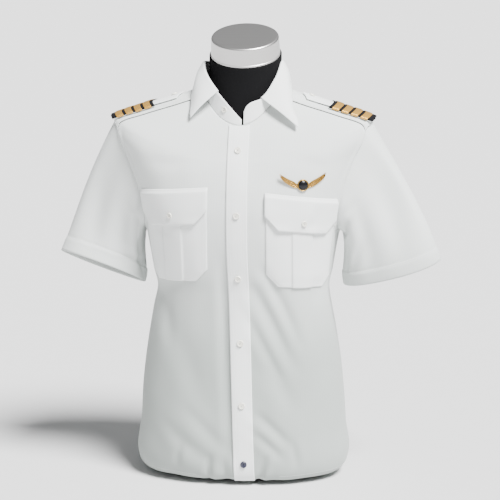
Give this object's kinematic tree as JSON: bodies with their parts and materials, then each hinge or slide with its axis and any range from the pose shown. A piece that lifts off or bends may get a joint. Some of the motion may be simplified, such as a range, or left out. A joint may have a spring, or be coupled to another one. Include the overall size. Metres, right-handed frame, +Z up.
{
  "type": "pilot shirt on a limbless dress form",
  "caption": "White short-sleeved pilot shirt with shoulder boards, flap pockets and wings badge, worn by a black limbless dress form that stands on its base.",
  "frame": {"origin": "centre of the dress form's flat underside", "axes": "+Z up, the shirt's front faces -Y, +X to the viewer's right"},
  "size_m": [0.651, 0.2473, 0.773],
  "materials": {
    "shirt_cloth": "plain woven, matte",
    "jersey": "fine knit, matte",
    "board_felt": "felted, matte",
    "gold_braid": "woven metallic braid",
    "cream_button": "pearly",
    "navy_button": "glossy",
    "badge_gold": "polished",
    "badge_dark": "glossy",
    "cap_steel": "satin"
  },
  "bodies": {
    "root": {"back": "shirt_cloth", "badge_centre": "badge_dark", "badge_rim": "badge_gold", "badge_wing_left": "badge_gold", "badge_wing_right": "badge_gold", "band_button": "cream_button", "bar_left_1": "gold_braid", "bar_left_2": "gold_braid", "bar_left_3": "gold_braid", "bar_left_4": "gold_braid", "bar_right_1": "gold_braid", "bar_right_2": "gold_braid", "bar_right_3": "gold_braid", "bar_right_4": "gold_braid", "board_left": "board_felt", "board_right": "board_felt", "button_1": "cream_button", "button_2": "cream_button", "button_3": "cream_button", "button_4": "cream_button", "button_5": "cream_button", "button_6": "navy_button", "collar_band": "shirt_cloth", "collar_fall": "shirt_cloth", "flap_button_left": "cream_button", "flap_button_right": "cream_button", "flap_left": "shirt_cloth", "flap_right": "shirt_cloth", "form": "jersey", "front_left": "shirt_cloth", "front_right": "shirt_cloth", "neck_cap": "cap_steel", "placket": "shirt_cloth", "pocket_left": "shirt_cloth", "pocket_right": "shirt_cloth", "sleeve_left": "shirt_cloth", "sleeve_right": "shirt_cloth", "strap_button_left": "cream_button", "strap_button_right": "cream_button", "strap_left": "shirt_cloth", "strap_right": "shirt_cloth", "yoke": "shirt_cloth"}
  },
  "joints": []
}
